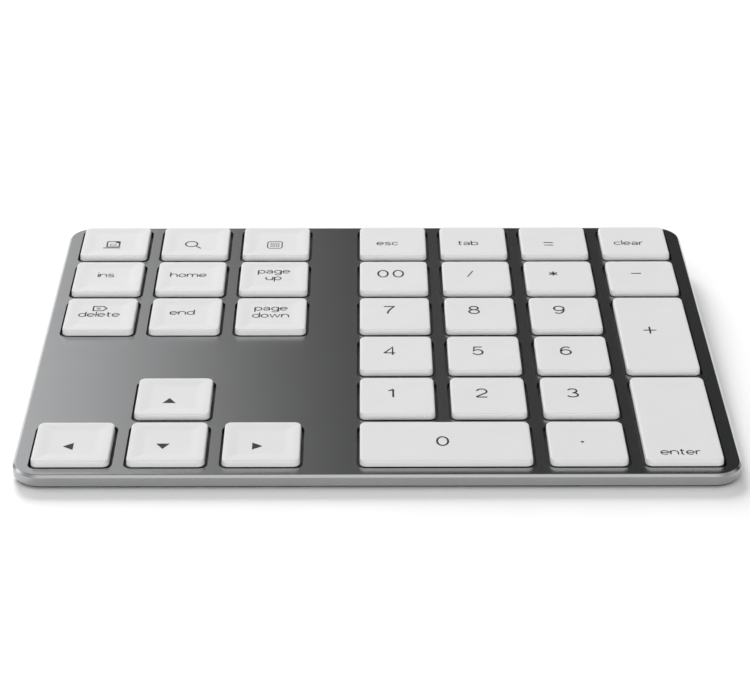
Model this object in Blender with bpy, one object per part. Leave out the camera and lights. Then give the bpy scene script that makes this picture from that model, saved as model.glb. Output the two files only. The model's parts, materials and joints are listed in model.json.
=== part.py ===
"""Slim numeric keypad: aluminium top case, wedge-shaped bottom cover, 34 sprung keys.

Two frames are used, both with +X to the right and +Y to the back. The deck frame has its
origin at the middle of the top case's upper face, and is tilted about X so that the back
stands higher. The world frame stands on the surface under the rubber feet.
"""

import math

import bmesh
import bpy

MM = 0.001

# Deck
TILT = math.radians(2.8)
FRONT_HEIGHT = 3.1 * MM          # upper face above the table, at the front edge
CASE_DEPTH = 114.1 * MM
CASE_CORNER = 6.0 * MM
PLATE = 0.9 * MM                 # thickness of the top case's upper wall
SKIRT_DROP = 2.45 * MM           # upper face to the skirt's lower edge
SKIRT_WALL = 1.2 * MM
EDGE_CHAMFER = 0.45 * MM
SKIRT_ROUND = 0.2 * MM

# Key layout
COLUMN_PITCH = 19.0 * MM
ROW_PITCH = 18.5 * MM
BLOCK_GAP = 8.5 * MM             # extra space between the two key blocks
LEFT_COLUMNS = 3
SIDE_MARGIN = 3.75 * MM          # key to the case's side
BACK_MARGIN = 2.6 * MM           # key to the case's back
KEY_SIZE = 15.6 * MM
KEY_GAP = 0.6 * MM               # key to the edge of its cut-out
KEY_CORNER = 1.4 * MM

# Keycap heights, above the upper face
KEY_TOP = 1.3 * MM
KEY_UNDERSIDE = 0.45 * MM
KEY_RIM = -0.05 * MM
KEY_WALL = 0.9 * MM
DISH_DEPTH = 0.15 * MM
DISH_INSET = 2.6 * MM
TOP_EDGE = 0.35 * MM
TRAVEL = 1.2 * MM

# Layers under the top case: distances below the upper face
DOME_SHEET_TOP = 1.35 * MM
DOME_SHEET_THICK = 0.15 * MM
MEMBRANE_TOP = 1.55 * MM
MEMBRANE_THICK = 0.15 * MM
SUPPORT_TOP = 1.75 * MM
SUPPORT_THICK = 0.25 * MM
LAYER_FRONT = 3.4 * MM           # case edge to the layers, at the front
LAYER_SIDE = 3.2 * MM
LAYER_BACK = 2.55 * MM
LAYER_CORNER = 4.0 * MM
DOME_RADIUS = 2.6 * MM
DOME_HEIGHT = 1.55 * MM
DOME_WALL = 0.35 * MM
DOME_PROFILE = ((1.0, 0.0), (0.82, 0.45), (0.42, 1.0))   # part of the radius, part of the height

# Stabiliser wires
WIRE = 0.2 * MM                  # radius
WIRE_PIVOT = -1.1 * MM           # height of the turning bar
WIRE_REACH = 5.0 * MM            # pivot to the bar that carries the key
WIRE_HOOK = 1.5 * MM
WIRE_INSET = 4.0 * MM            # end of the key to the arm

# Bottom cover
COVER_RIM_DROP = 1.3 * MM         # upper face to the rim that fits inside the skirt
COVER_STEP_DROP = 2.5 * MM       # upper face to the step that the skirt stands over
COVER_BASE = 0.25 * MM           # underside above the table
COVER_FLOOR = 0.5 * MM
COVER_RIM_INSET = 1.35 * MM
COVER_WALL = 0.9 * MM
COVER_OUTER = 0.35 * MM          # case edge to the cover's outer wall
COVER_ROUND = 0.2 * MM
COVER_LOWEST = 0.7 * MM          # case edge to the flat underside
COVER_INSIDE = (3.4 * MM, 2.9 * MM, 1.5 * MM)    # insets of the pan's floor: front, side, back
COVER_INSIDE_CORNER = 3.2 * MM
FOOT_RADIUS = 4.0 * MM
FOOT_EDGE = 0.15 * MM
FOOT_SIDE = 12.0 * MM            # case side to a foot's centre
FOOT_END = 11.0 * MM             # case front or back to a foot's centre
POCKET_TOP = COVER_BASE + 0.25 * MM
FOOT_HEIGHT = POCKET_TOP - 0.1 * MM

# Fasteners
BOSS_RADIUS = 1.5 * MM
BOSS_BORE = 0.9 * MM
BOSS_DROP = 2.15 * MM
PILLAR_RADIUS = 2.6 * MM
PILLAR_DROP = 2.35 * MM
HEAD_RADIUS = 1.5 * MM
HEAD_SEAT_DROP = 3.3 * MM
HEAD_HEIGHT = 0.7 * MM
RECESS_RADIUS = 0.55 * MM
RECESS_DEPTH = 0.4 * MM
SHANK_RADIUS = 0.6 * MM
SHANK_TOP = -1.3 * MM
CLEARANCE = 0.3 * MM

# Electronics at the back, heights above the table
BOARD_BASE = 1.4 * MM
BOARD_THICK = 0.6 * MM
BOARD_LEFT, BOARD_RIGHT = -24.0 * MM, 30.0 * MM
BOARD_FRONT, BOARD_BACK = 42.0 * MM, 54.3 * MM
PART_BASE = BOARD_BASE + BOARD_THICK + 0.15 * MM
CHIP_X, CHIP_Y, CHIP_SIZE, CHIP_HEIGHT = -19.0 * MM, 50.0 * MM, 6.0 * MM, 0.9 * MM
BATTERY_FRONT, BATTERY_BACK = 11.0 * MM, 37.0 * MM
BATTERY_WIDTH, BATTERY_HEIGHT = 60.0 * MM, 2.4 * MM
LEAD_X, LEAD_RADIUS, LEAD_BASE, LEAD_HUMP = 12.0 * MM, 0.45 * MM, 2.2 * MM, 0.7 * MM
PORT_X = 0.0
PORT_HEIGHT = 3.0 * MM
PORT_WIDTH = 8.9 * MM
PORT_LENGTH = 7.5 * MM
PORT_DEPTH = 5.6 * MM
PORT_WALL = 0.3 * MM
PORT_RECESS = 0.9 * MM           # case back to the mouth of the port
TONGUE_WIDTH, TONGUE_HEIGHT, TONGUE_RECESS = 6.6 * MM, 0.7 * MM, 1.0 * MM
SWITCH_X = 20.0 * MM
SWITCH_THROW = 2.0 * MM
SWITCH_WIDTH, SWITCH_HEIGHT = 9.0 * MM, 2.8 * MM
SWITCH_FRONT, SWITCH_BACK = 6.5 * MM, 2.9 * MM   # case back to the switch body's faces
SLIDER_BACK = 2.6 * MM           # case back to the slider's flange
KNOB_WIDTH, KNOB_HEIGHT, KNOB_LENGTH = 2.2 * MM, 1.3 * MM, 2.5 * MM
FLANGE_WIDTH, FLANGE_HEIGHT = 3.4 * MM, 2.6 * MM
FLANGE_FRONT, FLANGE_BACK = -0.25 * MM, 0.15 * MM
TAIL_WIDTH, TAIL_HALF = 12.0 * MM, 0.08 * MM

# name, column, row, columns wide, rows tall
KEYS = (
    ("key_display", 0, 0, 1, 1), ("key_search", 1, 0, 1, 1), ("key_calculator", 2, 0, 1, 1),
    ("key_insert", 0, 1, 1, 1), ("key_home", 1, 1, 1, 1), ("key_page_up", 2, 1, 1, 1),
    ("key_delete", 0, 2, 1, 1), ("key_end", 1, 2, 1, 1), ("key_page_down", 2, 2, 1, 1),
    ("key_up", 1, 4, 1, 1),
    ("key_left", 0, 5, 1, 1), ("key_down", 1, 5, 1, 1), ("key_right", 2, 5, 1, 1),
    ("key_esc", 3, 0, 1, 1), ("key_tab", 4, 0, 1, 1), ("key_equals", 5, 0, 1, 1), ("key_clear", 6, 0, 1, 1),
    ("key_double_zero", 3, 1, 1, 1), ("key_divide", 4, 1, 1, 1), ("key_multiply", 5, 1, 1, 1),
    ("key_minus", 6, 1, 1, 1),
    ("key_7", 3, 2, 1, 1), ("key_8", 4, 2, 1, 1), ("key_9", 5, 2, 1, 1), ("key_plus", 6, 2, 1, 2),
    ("key_4", 3, 3, 1, 1), ("key_5", 4, 3, 1, 1), ("key_6", 5, 3, 1, 1),
    ("key_1", 3, 4, 1, 1), ("key_2", 4, 4, 1, 1), ("key_3", 5, 4, 1, 1), ("key_enter", 6, 4, 1, 2),
    ("key_0", 3, 5, 2, 1), ("key_decimal", 5, 5, 1, 1),
)
COLUMNS = 7

CASE_WIDTH = 2 * SIDE_MARGIN + KEY_SIZE + (COLUMNS - 1) * COLUMN_PITCH + BLOCK_GAP
DECK_HEIGHT = FRONT_HEIGHT + CASE_DEPTH / 2 * math.sin(TILT)
DECK_SHIFT = -0.066 * MM         # keeps the whole object centred on the origin, front to back


# ---------------------------------------------------------------- frames and layout
def column_x(column):
    """Centre of a key column, in the deck frame."""
    x = -CASE_WIDTH / 2 + SIDE_MARGIN + KEY_SIZE / 2 + column * COLUMN_PITCH
    return x + (BLOCK_GAP if column >= LEFT_COLUMNS else 0.0)


def row_y(row):
    """Centre of a key row, in the deck frame; row 0 is at the back."""
    return CASE_DEPTH / 2 - BACK_MARGIN - KEY_SIZE / 2 - row * ROW_PITCH


def key_place(column, row, wide, tall):
    """Centre and size of a key."""
    x = (column_x(column) + column_x(column + wide - 1)) / 2
    y = (row_y(row) + row_y(row + tall - 1)) / 2
    return x, y, KEY_SIZE + (wide - 1) * COLUMN_PITCH, KEY_SIZE + (tall - 1) * ROW_PITCH


def deck_z(height, y):
    """Deck-frame z of a point at a height above the table, at a deck-frame y."""
    return (height - DECK_HEIGHT - y * math.sin(TILT)) / math.cos(TILT)


def screw_places():
    """Screws go where four key corners meet, and beside the up key."""
    left = (column_x(0) + column_x(1)) / 2
    right = (column_x(5) + column_x(6)) / 2
    back = (row_y(0) + row_y(1)) / 2
    front = (row_y(3) + row_y(4)) / 2
    return ((left, back), (right, back), (left, front), (right, front))


# ---------------------------------------------------------------- outlines
def rounded(width, depth, radius, segments=2, centre=(0.0, 0.0)):
    """Rounded rectangle as (x, y) points, anticlockwise."""
    points = []
    corners = ((1, 1, 0), (-1, 1, 90), (-1, -1, 180), (1, -1, 270))
    for sx, sy, start in corners:
        cx = centre[0] + sx * (width / 2 - radius)
        cy = centre[1] + sy * (depth / 2 - radius)
        for i in range(segments + 1):
            a = math.radians(start + 90 * i / segments)
            points.append((cx + radius * math.cos(a), cy + radius * math.sin(a)))
    return points


def circle(radius, centre=(0.0, 0.0), sides=10):
    """Regular polygon as (x, y) points."""
    turn = 2 * math.pi / sides
    return [(centre[0] + radius * math.cos(i * turn), centre[1] + radius * math.sin(i * turn))
            for i in range(sides)]


def at(outline, z):
    """Outline lifted to a height, or onto a surface z(y)."""
    if callable(z):
        return [(x, y, z(y)) for x, y in outline]
    return [(x, y, z) for x, y in outline]


def standing(outline, y):
    """Outline of (x, z) points stood up in the plane of a given y."""
    return [(x, y, z) for x, z in outline]


# ---------------------------------------------------------------- building
def material(name, colour, roughness, metallic=0.0):
    """Principled material."""
    m = bpy.data.materials.new(name)
    m.use_nodes = True
    shader = m.node_tree.nodes["Principled BSDF"]
    shader.inputs["Base Color"].default_value = (*colour, 1.0)
    shader.inputs["Roughness"].default_value = roughness
    shader.inputs["Metallic"].default_value = metallic
    return m


def add_loft(bm, rings):
    """Closed body through rings of equal length, capped at both ends."""
    loops = [[bm.verts.new(p) for p in ring] for ring in rings]
    faces = [bm.faces.new(loops[0]), bm.faces.new(loops[-1])]
    for low, high in zip(loops, loops[1:]):
        for i in range(len(low)):
            j = (i + 1) % len(low)
            faces.append(bm.faces.new((low[i], low[j], high[j], high[i])))
    bmesh.ops.recalc_face_normals(bm, faces=faces)


def mesh_of(name, bodies):
    """Mesh of one or more lofted bodies."""
    bm = bmesh.new()
    for rings in bodies:
        add_loft(bm, rings)
    mesh = bpy.data.meshes.new(name)
    bm.to_mesh(mesh)
    bm.free()
    return mesh


def place(name, mesh, finish, parent=None, location=(0.0, 0.0, 0.0), smooth=True):
    """One named object with its material."""
    piece = bpy.data.objects.new(name, mesh)
    bpy.context.scene.collection.objects.link(piece)
    piece.location = location
    piece.parent = parent
    if not mesh.materials:
        mesh.materials.append(finish)
    if smooth:
        mesh.shade_smooth()
        mesh.set_sharp_from_angle(angle=math.radians(35))
    return piece


def cut_with(piece, bodies, operation="DIFFERENCE"):
    """Boolean of a piece with lofted bodies that are given in the piece's own frame."""
    label = f"{piece.name}_{operation.lower()}_{len(piece.modifiers)}"
    tool = bpy.data.objects.new(label, mesh_of(label, bodies))
    bpy.context.scene.collection.objects.link(tool)
    tool.parent = piece.parent
    tool.location = piece.location
    tool.hide_render = True
    tool.display_type = "WIRE"
    modifier = piece.modifiers.new(operation.title(), "BOOLEAN")
    modifier.operation = operation
    modifier.solver = "EXACT"
    modifier.object = tool


def empty(name, location, rotation):
    """Frame that pieces are parented to."""
    frame = bpy.data.objects.new(name, None)
    bpy.context.scene.collection.objects.link(frame)
    frame.location = location
    frame.rotation_euler = rotation
    return frame


# ---------------------------------------------------------------- top case
def top_case(deck, finish):
    """Aluminium plate with a short skirt, 34 cut-outs and four screw bosses."""
    width, depth = CASE_WIDTH, CASE_DEPTH

    def outline(inset):
        return rounded(width - 2 * inset, depth - 2 * inset, CASE_CORNER - inset, 5)

    lip = SKIRT_WALL - SKIRT_ROUND
    rings = [
        at(outline(SKIRT_WALL), -PLATE),
        at(outline(SKIRT_WALL), -SKIRT_DROP),
        at(outline(SKIRT_WALL - lip), -SKIRT_DROP),
        at(outline(0.0), -SKIRT_DROP + SKIRT_ROUND),
        at(outline(0.0), -EDGE_CHAMFER),
        at(outline(EDGE_CHAMFER), 0.0),
    ]
    case = place("top_case", mesh_of("top_case", [rings]), finish, deck)
    holes = []
    for _, column, row, wide, tall in KEYS:
        x, y, w, d = key_place(column, row, wide, tall)
        hole = rounded(w + 2 * KEY_GAP, d + 2 * KEY_GAP, KEY_CORNER + KEY_GAP / 2, 2, (x, y))
        holes.append([at(hole, -2 * PLATE), at(hole, PLATE)])
    cut_with(case, holes)
    bosses = [[at(circle(BOSS_RADIUS, c), -BOSS_DROP), at(circle(BOSS_RADIUS, c), -0.8 * PLATE)]
              for c in screw_places()]
    cut_with(case, bosses, "UNION")
    bores = [[at(circle(BOSS_BORE, c), -2 * BOSS_DROP), at(circle(BOSS_BORE, c), -1.3 * PLATE)]
             for c in screw_places()]
    cut_with(case, bores)


# ---------------------------------------------------------------- keys
def keycap_mesh(name, width, depth):
    """Hollow cap: upright walls, softened top edge and a shallow dish."""

    def outline(inset):
        return rounded(width - 2 * inset, depth - 2 * inset, max(KEY_CORNER - 0.6 * inset, 0.5 * MM))

    rings = [
        at(outline(KEY_WALL), KEY_UNDERSIDE),
        at(outline(KEY_WALL), KEY_RIM),
        at(outline(0.0), KEY_RIM),
        at(outline(0.1 * TOP_EDGE), KEY_TOP - TOP_EDGE),
        at(outline(TOP_EDGE), KEY_TOP),
        at(outline(DISH_INSET), KEY_TOP - DISH_DEPTH),
    ]
    return mesh_of(name, [rings])


def keys(deck, finish):
    """Every keycap; caps of one size share a mesh."""
    meshes = {}
    for name, column, row, wide, tall in KEYS:
        x, y, w, d = key_place(column, row, wide, tall)
        size = (wide, tall)
        if size not in meshes:
            meshes[size] = keycap_mesh(f"keycap_{wide}x{tall}", w, d)
        place(name, meshes[size], finish, deck, (x, y, 0.0))


def stabiliser(name, deck, finish, pivot, turned, half_length):
    """Bent wire under a long key: a straight bar on its pivot, and two arms that carry the key."""
    path = []
    for side in (-1, 1):
        arm = [(side * (half_length - WIRE_HOOK), WIRE_REACH, TRAVEL),
               (side * half_length, WIRE_REACH, TRAVEL), (side * half_length, 0.0, 0.0)]
        path += arm if side < 0 else arm[::-1]
    curve = bpy.data.curves.new(name, "CURVE")
    curve.dimensions = "3D"
    curve.bevel_depth = WIRE
    curve.bevel_resolution = 1
    curve.use_fill_caps = True
    spline = curve.splines.new("POLY")
    spline.points.add(len(path) - 1)
    for point, p in zip(spline.points, path):
        point.co = (*p, 1.0)
    curve.materials.append(finish)
    bar = bpy.data.objects.new(name, curve)
    bpy.context.scene.collection.objects.link(bar)
    bar.parent = deck
    bar.location = (*pivot, WIRE_PIVOT)
    bar.rotation_euler = (0.0, 0.0, math.pi / 2 if turned else 0.0)


def stabilisers(deck, finish):
    """One wire for each long key, its pivot beside the middle of the key."""
    for name, column, row, wide, tall in KEYS:
        x, y, w, d = key_place(column, row, wide, tall)
        label = name.replace("key", "stabiliser")
        if wide > 1:
            stabiliser(label, deck, finish, (x, y - WIRE_REACH), False, w / 2 - WIRE_INSET)
        if tall > 1:
            stabiliser(label, deck, finish, (x + WIRE_REACH, y), True, d / 2 - WIRE_INSET)


# ---------------------------------------------------------------- layers under the keys
def layer_outline():
    """Outline shared by the dome sheet, the membrane and the support plate."""
    centre = (0.0, (LAYER_FRONT - LAYER_BACK) / 2)
    depth = CASE_DEPTH - LAYER_FRONT - LAYER_BACK
    return rounded(CASE_WIDTH - 2 * LAYER_SIDE, depth, LAYER_CORNER, 3, centre)


def layer(name, deck, finish, top, thick):
    """Thin flat sheet with a hole round each screw boss."""
    outline = layer_outline()
    sheet = place(name, mesh_of(name, [[at(outline, -top - thick), at(outline, -top)]]), finish, deck)
    hole = BOSS_RADIUS + CLEARANCE
    cut_with(sheet, [[at(circle(hole, c), -top - 2 * thick), at(circle(hole, c), -top + thick)]
                     for c in screw_places()])
    return sheet


def dome(x, y, inset, foot, top):
    """Six-sided dome, from its foot to its crown."""
    rings = []
    for radius, rise in DOME_PROFILE:
        z = foot + rise * (top - foot)
        rings.append(at(circle(radius * DOME_RADIUS - inset, (x, y), 6), z))
    return rings


def dome_sheet(deck, finish):
    """Silicone sheet with a hollow dome under every key."""
    sheet = layer("dome_sheet", deck, finish, DOME_SHEET_TOP, DOME_SHEET_THICK)
    outer, inner = [], []
    base = -DOME_SHEET_TOP
    for _, column, row, wide, tall in KEYS:
        x, y, _, _ = key_place(column, row, wide, tall)
        outer.append(dome(x, y, 0.0, base - DOME_SHEET_THICK / 2, base + DOME_HEIGHT))
        inner.append(dome(x, y, DOME_WALL, base - 2 * DOME_SHEET_THICK, base + DOME_HEIGHT - DOME_WALL))
    cut_with(sheet, outer, "UNION")
    cut_with(sheet, inner)


def support_plate(deck, finish):
    """Steel plate under the membrane, with a slot for the membrane's tail."""
    plate = layer("support_plate", deck, finish, SUPPORT_TOP, SUPPORT_THICK)
    slot = rounded(14 * MM, 2.4 * MM, 0.6 * MM, 1, (tail_x(), tail_y()))
    cut_with(plate, [[at(slot, -SUPPORT_TOP - 2 * SUPPORT_THICK), at(slot, -SUPPORT_TOP + SUPPORT_THICK)]])


def tail_x():
    """The membrane's tail comes down between the two key blocks."""
    return (column_x(LEFT_COLUMNS - 1) + column_x(LEFT_COLUMNS)) / 2


def tail_y():
    return row_y(0) - 2.5 * MM


# ---------------------------------------------------------------- bottom cover
def even_outline(inset):
    """Outline of the case moved inwards by the same amount all round."""
    return rounded(CASE_WIDTH - 2 * inset, CASE_DEPTH - 2 * inset, CASE_CORNER - inset, 4)


def inside_outline():
    """Outline of the pan's floor, with its own inset at the front, the sides and the back."""
    front, side, back = COVER_INSIDE
    centre = (0.0, (front - back) / 2)
    return rounded(CASE_WIDTH - 2 * side, CASE_DEPTH - front - back, COVER_INSIDE_CORNER, 4, centre)


def screw_hole(centre):
    """Stepped hole: a counterbore for the head and a through hole for the shank."""
    head, shank = HEAD_RADIUS + CLEARANCE, SHANK_RADIUS + CLEARANCE
    seat = -HEAD_SEAT_DROP + CLEARANCE
    return [at(circle(head, centre), -12 * MM), at(circle(head, centre), seat),
            at(circle(shank, centre), seat), at(circle(shank, centre), -PILLAR_DROP + 1 * MM)]


def foot_places():
    """Feet near the four corners, in the world frame."""
    x, y = CASE_WIDTH / 2 - FOOT_SIDE, CASE_DEPTH / 2 - FOOT_END
    return (("foot_front_left", -x, -y), ("foot_front_right", x, -y),
            ("foot_back_left", -x, y), ("foot_back_right", x, y))


def bottom_cover(deck, finish):
    """Wedge-shaped pan, level underneath; its stepped rim fits inside the skirt, parallel to the deck."""
    rings = [
        at(inside_outline(), lambda y: deck_z(COVER_BASE + COVER_FLOOR, y)),
        at(even_outline(COVER_RIM_INSET + COVER_WALL), -COVER_RIM_DROP),
        at(even_outline(COVER_RIM_INSET), -COVER_RIM_DROP),
        at(even_outline(COVER_RIM_INSET), -COVER_STEP_DROP),
        at(even_outline(COVER_OUTER), -COVER_STEP_DROP),
        at(even_outline(COVER_OUTER), lambda y: deck_z(COVER_BASE + COVER_ROUND, y)),
        at(even_outline(COVER_LOWEST), lambda y: deck_z(COVER_BASE, y)),
    ]
    cover = place("bottom_cover", mesh_of("bottom_cover", [rings]), finish, deck)
    pillars = []
    for c in screw_places():
        foot = circle(PILLAR_RADIUS, c)
        sunk = COVER_BASE + 0.6 * COVER_FLOOR
        pillars.append([at(foot, lambda y: deck_z(sunk, y)), at(foot, -PILLAR_DROP)])
    cut_with(cover, pillars, "UNION")
    cut_with(cover, [screw_hole(c) for c in screw_places()])
    cut_with(cover, [back_opening(PORT_X, PORT_WIDTH + 0.8 * MM, PORT_HEIGHT + 0.8 * MM),
                     back_opening(SWITCH_X, SWITCH_THROW + 3.2 * MM, 2.0 * MM)])
    pockets = []
    for _, x, y in foot_places():
        pocket = circle(FOOT_RADIUS + CLEARANCE, (x, y), 16)
        pockets.append([at(pocket, lambda y: deck_z(-MM, y)), at(pocket, lambda y: deck_z(POCKET_TOP, y))])
    cut_with(cover, pockets)


def port_centre():
    """Height of the middle of the port and of the switch above the table."""
    return PART_BASE + PORT_HEIGHT / 2


def back_opening(x, width, height):
    """Round-ended opening through the cover's back wall."""
    y = CASE_DEPTH / 2
    z = deck_z(port_centre(), y)
    ends = rounded(width, height, height / 2 - 0.01 * MM, 3, (x, z))
    return [standing(ends, y - 5 * MM), standing(ends, y + 5 * MM)]


# ---------------------------------------------------------------- feet and screws
def feet(finish):
    """Rubber discs with a softened lower edge."""
    edge = circle(FOOT_RADIUS, sides=16)
    rings = [at(circle(FOOT_RADIUS - FOOT_EDGE, sides=16), 0.0), at(edge, FOOT_EDGE), at(edge, FOOT_HEIGHT)]
    mesh = mesh_of("foot", [rings])
    for name, x, y in foot_places():
        place(name, mesh, finish, None, (x, y, 0.0))


def screws(deck, finish):
    """Small machine screws, put in from below, with a round driver recess."""
    low = -HEAD_SEAT_DROP - HEAD_HEIGHT
    rings = [at(circle(RECESS_RADIUS), low + RECESS_DEPTH), at(circle(RECESS_RADIUS), low),
             at(circle(HEAD_RADIUS), low), at(circle(HEAD_RADIUS), -HEAD_SEAT_DROP),
             at(circle(SHANK_RADIUS), -HEAD_SEAT_DROP), at(circle(SHANK_RADIUS), SHANK_TOP)]
    mesh = mesh_of("screw", [rings])
    for i, (x, y) in enumerate(screw_places(), 1):
        place(f"case_screw_{i}", mesh, finish, deck, (x, y, 0.0))


# ---------------------------------------------------------------- electronics
def block(name, finish, low, high, radius=0.4 * MM):
    """Flat block with rounded corners between two corner points."""
    width, depth = high[0] - low[0], high[1] - low[1]
    outline = rounded(width, depth, radius, 2, ((low[0] + high[0]) / 2, (low[1] + high[1]) / 2))
    place(name, mesh_of(name, [[at(outline, low[2]), at(outline, high[2])]]), finish)


def usb_c_receptacle(finish):
    """Round-ended steel shell, open at the back, with the contact tongue inside."""
    back = CASE_DEPTH / 2 - PORT_RECESS
    centre = (PORT_X, port_centre())

    def shell(inset):
        height = PORT_HEIGHT - 2 * inset
        return rounded(PORT_WIDTH - 2 * inset, height, height / 2 - 0.01 * MM, 3, centre)

    tongue = rounded(TONGUE_WIDTH, TONGUE_HEIGHT, 0.2 * MM, 3, centre)
    rings = [standing(shell(0.0), back - PORT_LENGTH), standing(shell(0.0), back),
             standing(shell(PORT_WALL), back), standing(shell(PORT_WALL), back - PORT_DEPTH),
             standing(tongue, back - PORT_DEPTH), standing(tongue, back - TONGUE_RECESS)]
    place("usb_c_receptacle", mesh_of("usb_c_receptacle", [rings]), finish)


def power_switch(body_finish, slider_finish):
    """Switch body on the board, and a slider whose flange is held behind the cover's wall."""
    back = CASE_DEPTH / 2
    middle = port_centre()
    block("power_switch_body", body_finish, (SWITCH_X - SWITCH_WIDTH / 2, back - SWITCH_FRONT, PART_BASE),
          (SWITCH_X + SWITCH_WIDTH / 2, back - SWITCH_BACK, PART_BASE + SWITCH_HEIGHT))
    knob = rounded(KNOB_WIDTH, KNOB_HEIGHT, 0.2 * MM, 1)
    flange = rounded(FLANGE_WIDTH, FLANGE_HEIGHT, 0.3 * MM, 1)
    rings = [standing(flange, FLANGE_FRONT), standing(flange, FLANGE_BACK),
             standing(knob, FLANGE_BACK), standing(knob, KNOB_LENGTH)]
    place("power_switch_slider", mesh_of("power_switch_slider", [rings]), slider_finish, None,
          (SWITCH_X - SWITCH_THROW / 2, back - SLIDER_BACK, middle))


def battery_lead(finish):
    """Short insulated lead from the battery to the board, in a low hump."""
    start, end = BATTERY_BACK + CLEARANCE, BOARD_FRONT - CLEARANCE
    steps = 6
    rings = []
    for i in range(steps + 1):
        t = i / steps
        z = LEAD_BASE + LEAD_HUMP * math.sin(math.pi * t)
        rings.append([(px, start + t * (end - start), pz) for px, pz in circle(LEAD_RADIUS, (LEAD_X, z), 8)])
    place("battery_lead", mesh_of("battery_lead", [rings]), finish)


def membrane_tail(finish):
    """Flat flexible strip from the membrane, through the slot in the support plate, to the board."""
    width, half = TAIL_WIDTH, TAIL_HALF
    x = tail_x()
    top = DECK_HEIGHT + tail_y() * math.sin(TILT) - MEMBRANE_TOP - MEMBRANE_THICK - 0.15 * MM
    route = ((tail_y() + 0.2 * MM, top), (tail_y() + 0.5 * MM, 4.0 * MM), (tail_y() + 1.4 * MM, 2.7 * MM),
             (tail_y() + 3.0 * MM, PART_BASE + half))
    rings = []
    for i, (y, z) in enumerate(route):
        before, after = route[max(i - 1, 0)], route[min(i + 1, len(route) - 1)]
        dy, dz = after[0] - before[0], after[1] - before[1]
        size = math.hypot(dy, dz)
        ny, nz = -dz / size * half, dy / size * half
        rings.append([(x - width / 2, y - ny, z - nz), (x + width / 2, y - ny, z - nz),
                      (x + width / 2, y + ny, z + nz), (x - width / 2, y + ny, z + nz)])
    place("membrane_tail", mesh_of("membrane_tail", [rings]), finish, None, (0, 0, 0), False)


def electronics(finishes):
    """Board, chip, battery, port and switch in the thick back of the wedge."""
    half = CHIP_SIZE / 2
    block("main_board", finishes["board"], (BOARD_LEFT, BOARD_FRONT, BOARD_BASE),
          (BOARD_RIGHT, BOARD_BACK, BOARD_BASE + BOARD_THICK), 1.0 * MM)
    block("controller_chip", finishes["chip"], (CHIP_X - half, CHIP_Y - half, PART_BASE),
          (CHIP_X + half, CHIP_Y + half, PART_BASE + CHIP_HEIGHT))
    block("battery", finishes["battery"], (-BATTERY_WIDTH / 2, BATTERY_FRONT, BOARD_BASE),
          (BATTERY_WIDTH / 2, BATTERY_BACK, BOARD_BASE + BATTERY_HEIGHT), 1.0 * MM)
    battery_lead(finishes["lead"])
    membrane_tail(finishes["membrane"])
    usb_c_receptacle(finishes["steel"])
    power_switch(finishes["chip"], finishes["cover"])


def clear_scene():
    for old in list(bpy.data.objects):
        bpy.data.objects.remove(old, do_unlink=True)


def main():
    clear_scene()
    deck = empty("deck", (0.0, DECK_SHIFT, DECK_HEIGHT), (TILT, 0.0, 0.0))
    finishes = {
        "aluminium": material("anodised_aluminium", (0.42, 0.43, 0.44), 0.32, 1.0),
        "keycap": material("keycap_plastic", (0.80, 0.80, 0.80), 0.42),
        "cover": material("cover_plastic", (0.04, 0.04, 0.042), 0.5),
        "rubber": material("foot_rubber", (0.05, 0.05, 0.05), 0.85),
        "silicone": material("dome_silicone", (0.10, 0.10, 0.10), 0.6),
        "membrane": material("membrane_film", (0.75, 0.76, 0.70), 0.35),
        "steel": material("steel", (0.56, 0.56, 0.57), 0.35, 1.0),
        "board": material("circuit_board", (0.02, 0.16, 0.07), 0.45),
        "chip": material("black_plastic", (0.02, 0.02, 0.02), 0.4),
        "battery": material("battery_foil", (0.55, 0.56, 0.58), 0.38, 0.6),
        "lead": material("lead_insulation", (0.45, 0.03, 0.03), 0.5),
    }
    top_case(deck, finishes["aluminium"])
    keys(deck, finishes["keycap"])
    stabilisers(deck, finishes["steel"])
    dome_sheet(deck, finishes["silicone"])
    layer("membrane", deck, finishes["membrane"], MEMBRANE_TOP, MEMBRANE_THICK)
    support_plate(deck, finishes["steel"])
    bottom_cover(deck, finishes["cover"])
    screws(deck, finishes["steel"])
    feet(finishes["rubber"])
    electronics(finishes)


main()
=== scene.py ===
"""Looks of a slim numeric keypad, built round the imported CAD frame.

The deck frame used below has its origin in the middle of the top case's upper face, +X to the
right, +Y to the back along the tilted face, and +Z out of it. Lengths are in metres.
"""

import json
import math

import bmesh
import bpy
from mathutils import Matrix, Vector

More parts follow.
